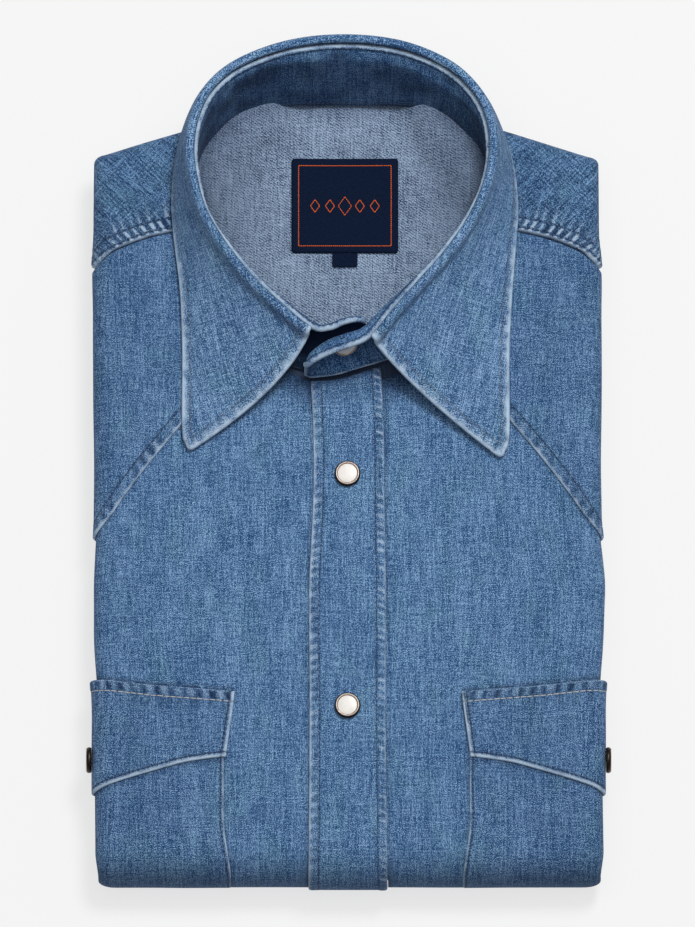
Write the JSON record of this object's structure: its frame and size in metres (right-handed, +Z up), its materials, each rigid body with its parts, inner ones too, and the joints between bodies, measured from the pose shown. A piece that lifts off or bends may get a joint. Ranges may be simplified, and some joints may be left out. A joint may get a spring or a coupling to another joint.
{
  "type": "folded denim shirt",
  "caption": "Western denim shirt folded flat on its back, with a standing pointed collar, snap placket, slanted front yokes and flap pockets.",
  "frame": {"origin": "middle of the folded shirt's footprint, on the surface that it lies on", "axes": "+X to the wearer's left, +Y towards the collar, +Z up away from the surface"},
  "size_m": [0.2394, 0.3907, 0.0607],
  "materials": {
    "denim": "washed mid-blue denim, slubby weave, pale worn edges",
    "denim_inside": "paler grey-blue twill wrong side of the denim",
    "label": "fine dark navy woven label",
    "snap": "pearl cap in a bright metal ring"
  },
  "bodies": {
    "root": {"hidden_layers": "denim", "back_yoke": "denim_inside", "front_left": "denim", "front_right": "denim", "yoke_front_left": "denim", "yoke_front_right": "denim", "yoke_shoulder_left": "denim", "yoke_shoulder_right": "denim", "pocket_left": "denim", "pocket_right": "denim", "flap_left": "denim", "flap_right": "denim", "placket": "denim", "collar_stand": "denim", "collar_leaf": "denim", "label": "label", "size_tab": "label", "snap_neck": "snap", "snap_front_1": "snap", "snap_front_2": "snap", "snap_flap_left": "snap", "snap_flap_right": "snap"}
  },
  "joints": []
}
